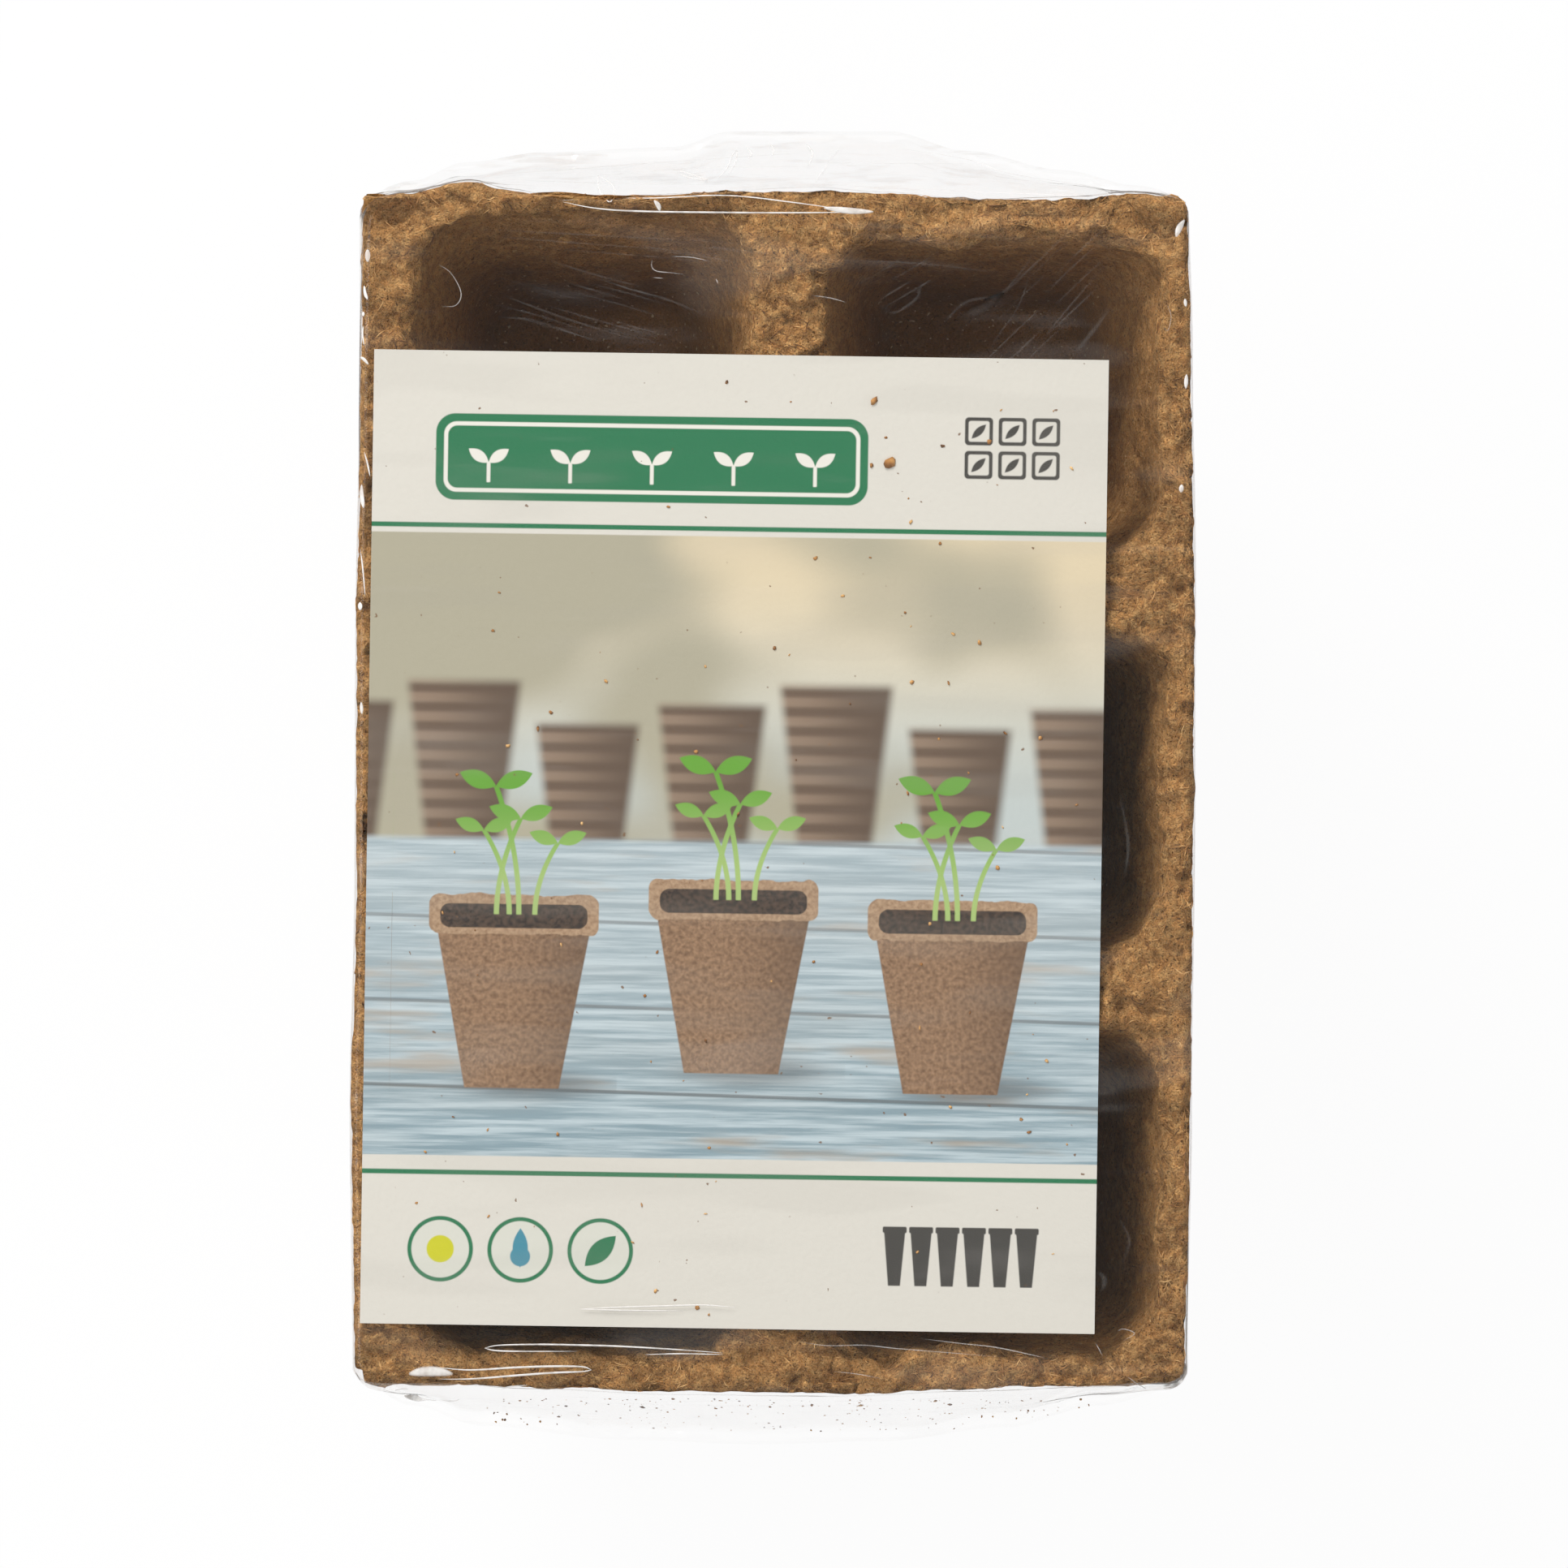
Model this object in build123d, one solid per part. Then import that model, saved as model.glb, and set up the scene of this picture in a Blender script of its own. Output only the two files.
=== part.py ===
from build123d import *
import math
import os

# A retail pack of peat pots: ten identical trays of moulded peat fibre, six square pots each,
# nested in one another, with a printed card on the top tray and clear film shrunk round them.
# The origin is the middle of the base. X runs across the two pots, Y along the three, Z is up.
# All lengths are in millimetres and all angles in degrees.

tray_count = 10
pot_columns = 2
pot_rows = 3

# Pots of one tray
pot_pitch = 50
pot_height = 50
fibre_wall = 1.4
floor_width = 24
floor_corner = 4
neck_width = 40.6
neck_corner = 7
lip_depth = 2.8
lip_reach = 1.8
foot_bevel = 1.5
drain_hole_width = 8
drain_hole_sides = 6

# Lands that join the pots and stand out round them
land_thickness = 2.2
land_left = 6.7
land_right = 3.1
land_end = 2.9
tray_corner = 3.2

# Gap between the walls of one tray and of the next, and flats that turn each corner
nest_gap = 0.3
corner_flats = 3

# Printed card
card_width = 91.8
card_length = 121.7
card_thickness = 0.3
card_turn = -0.85
card_shift_x = -4.9
card_shift_y = -6.2
card_gap = 0.1

# Clear film: an upper and a lower web that meet in a welded seam at half height
film_thickness = 0.2
film_gap = 0.4
film_floor_gap = 0.1
film_ceiling_gap = 0.2
film_bevel = 0.5
seam_gap = 0.1
fin_width = 1.5

# How far the film tents out from each end at the seam: shares of it at shares of the half width
back_tent = 7.4
back_tent_shares = ((0.55, 0.5), (0.27, 1), (-0.17, 0.95), (-0.6, 0.5))
front_tent = 5.3
front_tent_shares = ((0.6, 0.45), (0.2, 0.95), (-0.3, 1), (-0.65, 0.4))

# Room that a cut runs past what it cuts
overrun = 1

# Worked out from the sizes above
neck_height = pot_height - lip_depth
land_underside = pot_height - land_thickness
draft = math.degrees(math.atan((neck_width - floor_width) / 2 / (neck_height - fibre_wall)))
wall_across = fibre_wall / math.cos(math.radians(draft))
nest_pitch = (fibre_wall + nest_gap) / math.sin(math.radians(draft))
mouth_width = neck_width + 2 * lip_reach
mouth_corner = neck_corner + lip_reach
columns_span = (pot_columns - 1) * pot_pitch
rows_span = (pot_rows - 1) * pot_pitch
tray_width = columns_span + mouth_width + land_left + land_right
tray_length = rows_span + mouth_width + 2 * land_end
pots_shift = (land_left - land_right) / 2

first_tray_height = film_thickness + film_floor_gap
stack_top = first_tray_height + (tray_count - 1) * nest_pitch + pot_height
card_height = stack_top + card_gap
ceiling_height = card_height + card_thickness + film_ceiling_gap
seam_height = (ceiling_height + film_thickness) / 2


def ring(width, length, corner, height):
    """Points round a rectangle whose corners are turned in a few equal flats."""
    points = []
    for quarter in range(4):
        middle = math.radians(90 * (quarter + 1 / 2))
        centre_x = math.copysign(width / 2 - corner, math.cos(middle))
        centre_y = math.copysign(length / 2 - corner, math.sin(middle))
        for flat in range(corner_flats + 1):
            turn = math.radians(90 * (quarter + flat / corner_flats))
            x = centre_x + corner * math.cos(turn)
            y = centre_y + corner * math.sin(turn)
            points.append(Vector(x, y, height))
    return points


def between(rings, halved=False):
    """Solid whose flat sides run from each ring to the next. Twisted sides are halved."""
    faces = [Face(Wire.make_polygon(rings[0])), Face(Wire.make_polygon(rings[-1]))]
    for low, high in zip(rings, rings[1:]):
        for start in range(len(low)):
            end = (start + 1) % len(low)
            sides = [[low[start], low[end], high[end], high[start]]]
            if halved:
                sides = [[low[start], low[end], high[end]], [low[start], high[end], high[start]]]
            faces += [Face(Wire.make_polygon(side)) for side in sides]
    return Solid(Shell(faces))


def pot_size(height):
    """Inner width and corner radius of the tapered pot at one height."""
    share = (height - fibre_wall) / (neck_height - fibre_wall)
    width = floor_width + share * (neck_width - floor_width)
    corner = floor_corner + share * (neck_corner - floor_corner)
    return width, corner


def pot_ring(height, outside=0):
    """Ring on the pot's inner face at one height, or one that lies outside it."""
    width, corner = pot_size(height)
    return ring(width + 2 * outside, width + 2 * outside, corner + outside, height)


def pot_hollow():
    """Inside of one pot: the tapered walls, and the lip that rolls back to the land."""
    past = overrun * lip_reach / lip_depth
    top = ring(mouth_width + 2 * past, mouth_width + 2 * past, mouth_corner + past, pot_height + overrun)
    return between([pot_ring(fibre_wall), pot_ring(neck_height), top])


def pot_outside():
    """Outer form of one pot, from its bevelled foot up into the land."""
    foot = pot_ring(0, wall_across - foot_bevel)
    above_foot = pot_ring(foot_bevel, wall_across)
    in_land = pot_ring(pot_height - land_thickness / 2, wall_across)
    return between([foot, above_foot, in_land])


def drain_hole():
    """Hole through the middle of a pot's floor."""
    outline = RegularPolygon(drain_hole_width / 2, drain_hole_sides)
    return Pos(0, 0, -overrun) * extrude(outline, fibre_wall + 2 * overrun)


def pot_places():
    """Middle of each pot in a tray."""
    first_x = pots_shift - columns_span / 2
    for column in range(pot_columns):
        for row in range(pot_rows):
            yield Pos(first_x + column * pot_pitch, row * pot_pitch - rows_span / 2, 0)


def fibre_tray():
    """One moulded tray: six tapered pots that hang from one land."""
    edge = [ring(tray_width, tray_length, tray_corner, z) for z in (land_underside, pot_height)]
    places = list(pot_places())
    tray = Part() + between(edge)
    tray += [place * pot_outside() for place in places]
    tray -= [place * pot_hollow() for place in places]
    return tray - [place * drain_hole() for place in places]


def printed_card():
    """The card, a little askew on the top tray's lands."""
    upwards = (Align.CENTER, Align.CENTER, Align.MIN)
    place = Pos(card_shift_x, card_shift_y, card_height) * Rot(0, 0, card_turn)
    return place * Box(card_width, card_length, card_thickness, align=upwards)


def end_points(half_width, end, height, tent, shares):
    """Points along one end of the film, where it stands out by shares of its tent."""
    points = []
    for place_share, tent_share in shares:
        out = math.copysign(tent * tent_share, end)
        points.append(Vector(half_width * place_share, end + out, height))
    return points


def film_ring(size, height, tented=0, fin=0, shift=0):
    """Ring of film round the pack, flat along both ends or tented out as it is at the seam."""
    width, length, corner = size
    points = ring(width, length, corner, height)
    quarter = len(points) // 4
    back_out = tented * back_tent + fin
    front_out = tented * front_tent + fin
    back = end_points(width / 2, length / 2, height, back_out, back_tent_shares)
    front = end_points(width / 2, -length / 2, height, front_out, front_tent_shares)
    sides = points[quarter : 3 * quarter]
    points = points[:quarter] + back + sides + front[::-1] + points[3 * quarter :]
    return [point + Vector(shift, 0, 0) for point in points]


def film_sizes(out):
    """Width, length and corner of the film round the feet, the lands and the bevelled top."""
    width, corner = pot_size(foot_bevel)
    beyond = wall_across + out
    feet = (columns_span + width + 2 * beyond, rows_span + width + 2 * beyond, corner + beyond)
    lands = (tray_width + 2 * out, tray_length + 2 * out, tray_corner + out)
    top = (lands[0] - 2 * film_bevel, lands[1] - 2 * film_bevel, lands[2] - film_bevel)
    return feet, lands, top


def seam_fin(low):
    """Flat edge of welded film that stands out along both ends of the seam."""
    lands = film_sizes(film_gap + film_thickness)[1]
    heights = (low, low + film_thickness)
    return between([film_ring(lands, z, 1, fin_width) for z in heights])


def lower_film():
    """Lower web: the floor under the feet and the walls up to the seam."""
    edge = seam_height - seam_gap / 2
    land = first_tray_height + land_underside
    forms = []
    for out, floor, top in ((film_gap + film_thickness, 0, edge), (film_gap, film_thickness, edge)):
        feet, lands, _ = film_sizes(out)
        rings = [film_ring(feet, floor, shift=pots_shift), film_ring(lands, land)]
        rings.append(film_ring(lands, top, 1))
        forms.append(rings)
    outer, inner = forms
    inner.append(film_ring(film_sizes(film_gap)[1], edge + overrun, 1))
    web = Part() + between(outer, halved=True) + seam_fin(edge - film_thickness)
    return web - between(inner, halved=True)


def upper_film():
    """Upper web: the top over the card and the walls down to the seam."""
    edge = seam_height + seam_gap / 2
    forms = []
    for out, ceiling in ((film_gap + film_thickness, film_thickness), (film_gap, 0)):
        _, lands, top = film_sizes(out)
        rings = [film_ring(lands, edge, 1), film_ring(lands, stack_top)]
        rings.append(film_ring(top, ceiling_height + ceiling))
        forms.append(rings)
    outer, inner = forms
    inner.insert(0, film_ring(film_sizes(film_gap)[1], edge - overrun, 1))
    web = Part() + between(outer, halved=True) + seam_fin(edge)
    return web - between(inner, halved=True)


def pack():
    """Every piece of the pack by its name."""
    pieces = {"film_lower": lower_film()}
    tray = fibre_tray()
    for number in range(tray_count):
        height = first_tray_height + number * nest_pitch
        pieces[f"tray_{number + 1:02d}"] = Pos(0, 0, height) * tray
    pieces["card"] = printed_card()
    pieces["film_upper"] = upper_film()
    return pieces


os.makedirs("parts", exist_ok=True)
for name, piece in pack().items():
    export_step(piece, f"parts/{name}.step")
print(f"tray {tray_width:.1f} x {tray_length:.1f}, draft {draft:.2f}, nest pitch {nest_pitch:.2f}")
print(f"pack height {ceiling_height + film_thickness:.1f}, top tray's land at {stack_top:.1f}")
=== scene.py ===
import math
import random

import bmesh
import bpy
import numpy as np
from mathutils import Matrix, Vector, noise
from mathutils.bvhtree import BVHTree


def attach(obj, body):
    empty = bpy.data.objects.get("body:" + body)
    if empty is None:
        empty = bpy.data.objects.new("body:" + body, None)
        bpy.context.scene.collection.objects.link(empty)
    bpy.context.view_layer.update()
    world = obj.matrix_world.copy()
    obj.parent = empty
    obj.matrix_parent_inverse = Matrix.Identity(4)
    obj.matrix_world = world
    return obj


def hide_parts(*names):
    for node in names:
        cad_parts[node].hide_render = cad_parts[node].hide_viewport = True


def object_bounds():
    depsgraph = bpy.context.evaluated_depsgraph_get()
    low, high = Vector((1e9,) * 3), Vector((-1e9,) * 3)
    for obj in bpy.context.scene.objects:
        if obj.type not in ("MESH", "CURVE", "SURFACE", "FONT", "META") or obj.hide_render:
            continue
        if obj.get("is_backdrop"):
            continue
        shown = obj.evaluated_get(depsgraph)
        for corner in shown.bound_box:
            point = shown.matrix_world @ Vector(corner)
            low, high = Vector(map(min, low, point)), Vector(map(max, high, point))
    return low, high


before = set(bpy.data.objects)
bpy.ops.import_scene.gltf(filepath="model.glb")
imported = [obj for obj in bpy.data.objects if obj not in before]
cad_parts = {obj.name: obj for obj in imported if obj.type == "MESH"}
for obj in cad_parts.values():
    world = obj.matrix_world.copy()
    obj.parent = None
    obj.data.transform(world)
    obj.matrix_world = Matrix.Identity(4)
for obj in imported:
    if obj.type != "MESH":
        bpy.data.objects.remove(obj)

cad_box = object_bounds()

# Shapes are worked out in millimetres and scaled to metres when a piece is finished.
MM = 0.001

# Sizes of the trays and of the pack, as in the CAD model
TRAYS = 10
POT_PITCH = 50
POT_HEIGHT = 50
WALL = 1.4
LAND = 2.2
FLOOR_HALF = 12
FLOOR_CORNER = 4
NECK_HALF = 20.3
NECK_CORNER = 7
NECK_HEIGHT = 47.2
MOUTH_HALF = 22.1
MOUTH_CORNER = 8.8
HOLE_HALF = 4
TRAY_HALF_X = 52
TRAY_HALF_Y = 75
TRAY_CORNER = 2.1
POTS_SHIFT = 1.8
NEST_PITCH = 9.534
FIRST_TRAY = 0.3
CARD_TURN = -0.85
CARD_MIDDLE = Vector((-0.0049, -0.0062, 0))
STACK_TOP = FIRST_TRAY + (TRAYS - 1) * NEST_PITCH + POT_HEIGHT
SEAM = 68.45
FILM_TOP = 136.84
FOOT_HALF = 13.4
FEET_HALF_X = POT_PITCH / 2 + FOOT_HALF
FEET_HALF_Y = POT_PITCH + FOOT_HALF
FEET_CORNER = 5.4

# Keeps a division away from zero
TINY = 1e-6

# The camera looks straight down, and a pixel of the picture is this wide at the top of the stack.
CAMERA_ABOVE = 1800
CAMERA = Vector((1.3, 1.0, STACK_TOP + CAMERA_ABOVE))
PIXEL = 1 / 9.86
PICTURE = 1932


def smoothstep(value, low, high):
    """0 below low, 1 above high and an even curve between them."""
    share = np.clip((np.asarray(value, float) - low) / (high - low), 0, 1)
    return share * share * (3 - 2 * share)


def bell(value):
    """1 at 0, and falls off evenly on both sides."""
    return np.exp(-value ** 2)


def through(value, points):
    """A soft curve through (place, amount) points."""
    places, amounts = zip(*points)
    value = np.asarray(value, float)
    step = np.clip(np.searchsorted(places, value) - 1, 0, len(places) - 2)
    places, amounts = np.array(places, float), np.array(amounts, float)
    share = np.clip((value - places[step]) / (places[step + 1] - places[step]), 0, 1)
    share = share * share * (3 - 2 * share)
    return amounts[step] + share * (amounts[step + 1] - amounts[step])


def lumps(points, size, seed, stretch=(1, 1, 1)):
    """Smooth noise from about -1 to 1 at each point, with lumps of one size."""
    shift = np.array([17.3, 5.1, 9.7]) * seed
    spots = np.asarray(points) / (np.array(stretch) * size) + shift
    return np.array([noise.noise(spot) for spot in spots.tolist()])


def read_points(mesh):
    """Places and normals of a mesh's vertices."""
    count = len(mesh.vertices)
    places, normals = np.empty(count * 3), np.empty(count * 3)
    mesh.vertices.foreach_get("co", places)
    mesh.vertex_normals.foreach_get("vector", normals)
    return places.reshape(-1, 3), normals.reshape(-1, 3)


def press(sheet, places):
    for vertex, place in zip(sheet.verts, places):
        vertex.co = place


def to_mesh(name, shape):
    """A mesh of a bmesh, which is not needed after it."""
    mesh = bpy.data.meshes.new(name)
    shape.to_mesh(mesh)
    shape.free()
    return mesh


def put_in_scene(name, data):
    thing = bpy.data.objects.new(name, data)
    bpy.context.scene.collection.objects.link(thing)
    return thing


def add_piece(name, mesh, material, body, nodes=()):
    """Finishes a piece that was shaped in millimetres, and ties it to its body."""
    mesh.transform(Matrix.Scale(MM, 4))
    mesh.polygons.foreach_set("use_smooth", [True] * len(mesh.polygons))
    mesh.materials.append(material)
    piece = put_in_scene(name, mesh)
    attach(piece, body)
    if nodes:
        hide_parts(*nodes)
    return piece


def surface_of(mesh):
    """A mesh's surface, for finding the nearest spot on it or where a line meets it."""
    return BVHTree.FromPolygons([v.co for v in mesh.vertices], [f.vertices[:] for f in mesh.polygons])


def seen_on(surface, across, down):
    """Place and normal where the line of sight through a spot of the picture meets a surface."""
    x = (across - PICTURE / 2) * PIXEL + CAMERA.x
    y = (PICTURE / 2 - down) * PIXEL + CAMERA.y
    spot = Vector((x, y, STACK_TOP))
    place, normal, _, _ = surface.ray_cast(CAMERA, spot - CAMERA)
    return place, normal


def to_rings(a, b):
    """Spots of a grid as a ring round 0, 0 and a place on the edge of a square from -1 to 1."""
    ring = np.maximum(abs(a), abs(b))
    return ring, a / np.maximum(ring, 1), b / np.maximum(ring, 1)


def on_ring(a, b, half_x, half_y, corner):
    """Where a spot on the edge of a square from -1 to 1 falls on a rounded rectangle."""
    beside = abs(a) >= abs(b)
    straight = np.where(beside, half_y, half_x) - corner
    along = np.where(beside, abs(b), abs(a)) * (straight + corner * math.pi / 4)
    turn = np.maximum(along - straight, 0) / np.maximum(corner, TINY)
    out = np.where(beside, half_x, half_y) - corner + corner * np.cos(turn)
    side = np.minimum(along, straight) + corner * np.sin(turn)
    x = np.sign(a) * np.where(beside, out, side)
    y = np.sign(b) * np.where(beside, side, out)
    return x, y


# Trays of moulded fibre

# Rings of grid squares in one pot, counted out from its middle to each stage of its form
FINE_RINGS = {"hole": 4, "floor": 8, "fillet": 11, "low": 21, "neck": 31, "mouth": 37, "land": 42}
PLAIN_RINGS = {"hole": 3, "floor": 5, "fillet": 7, "low": 13, "neck": 19, "mouth": 23, "land": 27}

# How far the top tray's edges stand out, in places along them
BACK_EDGE = ((-52, -1.3), (-46, -0.2), (-38, 1.4), (-33, 0.2), (-25, -1.3), (-12, -0.4), (5, 0.4), (14, -0.2),
             (25, -1.2), (36, -0.8), (45, -0.1), (52, -0.9))
FRONT_EDGE = ((-52, -2.6), (-44, -1.4), (-30, -0.6), (-12, 0.1), (8, 0.3), (24, -0.3), (40, -0.8), (52, -1.8))
LEFT_EDGE = ((-75, 0.4), (-40, 0.8), (-10, 0.2), (20, 0.1), (50, -0.4), (75, -0.8))
RIGHT_EDGE = ((-75, -0.6), (-40, 0.1), (-5, 0.5), (30, 0.6), (55, 0.2), (75, -0.3))

# The same by their axis and side
EDGES = {(0, -1): LEFT_EDGE, (0, 1): RIGHT_EDGE, (1, -1): FRONT_EDGE, (1, 1): BACK_EDGE}

# Lumps of a tray's faces and tears of its edges: height, size and which noise
RELIEF = ((1.2, 7.5, 3), (1.35, 3.1, 4), (0.75, 1.5, 5))
TEARS = ((0.3, 13, 0), (0.14, 4.3, 1), (0.2, 1.6, 2))

# The lands rise by the crown between the pots, and round off by the drop towards the tray's edge
CROWN = 0.35
EDGE_DROP = 0.9
EDGE_ROUND = 1.6

# Takes the height out of places, for lumps that are the same all the way down
SEEN_FLAT = (1, 1, 0)

# How far in from its edge a tray is torn, and above which height of it
TORN_BAND = 6
TORN_ABOVE = 44

# Dents and cracks in the top tray's lands: depth, width and the two ends
DENTS = (
    (0.9, 1.2, (-43, 72.7), (-12, 72.2)), (0.8, 1.3, (6, 72.9), (45, 72)),
    (0.9, 0.5, (43.8, 28.4), (49.6, 27.6)), (1.1, 0.8, (51, 25.6), (51.6, 25.6)),
    (0.8, 0.6, (43.6, -26.8), (50.2, -28.2)), (0.6, 0.5, (43.2, -29.6), (49, -29.8)),
    (1, 0.35, (7, -69.8), (7.3, -73.8)), (2.4, 1.5, (-49.4, 72), (-45.6, 73)),
    (1.1, 0.5, (-40.5, 74.4), (-37.8, 73.4)), (0.9, 0.6, (0.6, 61.2), (3.2, 58.2)),
    (0.8, 0.5, (4.6, 66.4), (6.2, 62)), (0.7, 0.5, (-1.4, 56.6), (1.6, 55.4)),
    (0.8, 0.5, (6.6, 58.8), (7.4, 54.2)), (0.7, 0.6, (-50.4, 61), (-48.2, 57.6)),
    (0.8, 0.5, (-22, 72.2), (-12.5, 71.4)), (0.7, 0.5, (-36, 71.6), (-27, 71.2)),
    (0.7, 0.45, (26, 72.8), (34, 72.2)),
)


def ring_table(rings):
    """Half width, corner and height of each ring from the middle of a pot to its mouth."""
    def wall(height):
        share = (height - WALL) / (NECK_HEIGHT - WALL)
        half = FLOOR_HALF + share * (NECK_HALF - FLOOR_HALF)
        return half, FLOOR_CORNER + share * (NECK_CORNER - FLOOR_CORNER)

    fillet, low, neck = 3.4, 30, 44.6
    mouth, curve = MOUTH_HALF + 0.3, 0.85
    stages = [(0, 0, 0, WALL), (rings["hole"], HOLE_HALF, HOLE_HALF, WALL),
              (rings["floor"], FLOOR_HALF - 2, FLOOR_CORNER, WALL),
              (rings["fillet"] - 1, FLOOR_HALF - 0.2, FLOOR_CORNER, WALL + 0.8)]
    for ring, height in (("fillet", fillet), ("low", low), ("neck", neck)):
        stages.append((rings[ring], *wall(height), height))
    rounds = rings["mouth"] - rings["neck"]
    for step in range(1, rounds + 1):
        turn = math.pi / 2 * (1 - step / rounds)
        inward, up = math.sin(turn) ** curve, math.cos(turn) ** curve
        half = mouth - (mouth - wall(neck)[0]) * inward
        corner = MOUTH_CORNER - (MOUTH_CORNER - wall(neck)[1]) * inward
        stages.append((rings["neck"] + step, half, corner, neck + (POT_HEIGHT - CROWN - neck) * up))
    numbers, halves, corners, heights = (np.array(column, float) for column in zip(*stages))
    every = np.arange(rings["mouth"] + 1)
    return tuple(np.interp(every, numbers, column) for column in (halves, corners, heights))


def tray_sheet(rings):
    """One tray of even thickness, pressed out of a flat grid, and how many vertices its upper skin has."""
    reach = rings["land"]
    sheet = bmesh.new()
    bmesh.ops.create_grid(sheet, x_segments=4 * reach, y_segments=6 * reach, size=1)
    flat = np.array([vertex.co for vertex in sheet.verts])
    across = np.rint((flat[:, 0] + 1) * 2 * reach).astype(int)
    along = np.rint((flat[:, 1] + 1) * 3 * reach).astype(int)
    column, row = np.minimum(across // (2 * reach), 1), np.minimum(along // (2 * reach), 2)
    ring, a, b = to_rings(across - (2 * column + 1) * reach, along - (2 * row + 1) * reach)

    halves, corners, heights = ring_table(rings)
    in_pot = np.minimum(ring, rings["mouth"])
    x, y = on_ring(a, b, halves[in_pot], halves[in_pot], corners[in_pot])
    z = heights[in_pot]
    middle_x = POTS_SHIFT + (column - 0.5) * POT_PITCH
    middle_y = (row - 1) * POT_PITCH
    outer = np.where(column == 0, a < 0, a > 0)
    edge_x = np.where(outer, TRAY_HALF_X - np.sign(a) * middle_x, POT_PITCH / 2)
    share = np.clip((ring - rings["mouth"]) / (rings["land"] - rings["mouth"]), 0, 1)
    x = middle_x + x + share * (a * edge_x - x)
    y = middle_y + y + share * (b * POT_PITCH / 2 - y)
    z = z + CROWN * smoothstep(share, 0, 1)

    past_x = np.maximum(abs(x) - TRAY_HALF_X + TRAY_CORNER, 0)
    past_y = np.maximum(abs(y) - TRAY_HALF_Y + TRAY_CORNER, 0)
    shrink = np.minimum(TRAY_CORNER / np.maximum(np.hypot(past_x, past_y), TINY), 1)
    x = np.sign(x) * (abs(x) - past_x * (1 - shrink))
    y = np.sign(y) * (abs(y) - past_y * (1 - shrink))
    inside = np.minimum(TRAY_HALF_X - abs(x), TRAY_HALF_Y - abs(y))
    z = z - EDGE_DROP * np.clip(1 - inside / EDGE_ROUND, 0, 1) ** 2

    press(sheet, np.stack((x, y, z), 1))
    ring = ring.tolist()
    holes = [face for face in sheet.faces if max(ring[v.index] for v in face.verts) <= rings["hole"]]
    bmesh.ops.delete(sheet, geom=holes, context="FACES")
    skin = len(sheet.verts)
    bmesh.ops.solidify(sheet, geom=sheet.faces[:], thickness=WALL)
    return sheet, skin


def inside_edge(places):
    """How far each point lies inside the edge of its tray."""
    return np.minimum(TRAY_HALF_X - abs(places[:, 0]), TRAY_HALF_Y - abs(places[:, 1]))


def dent_distance(places, ends):
    """Distance of each point, seen from above, from the line between two ends."""
    start, end = np.array(ends, float)
    along = np.clip((places[:, :2] - start) @ (end - start) / ((end - start) @ (end - start)), 0, 1)
    return np.hypot(*(places[:, :2] - start - along[:, None] * (end - start)).T)


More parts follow.
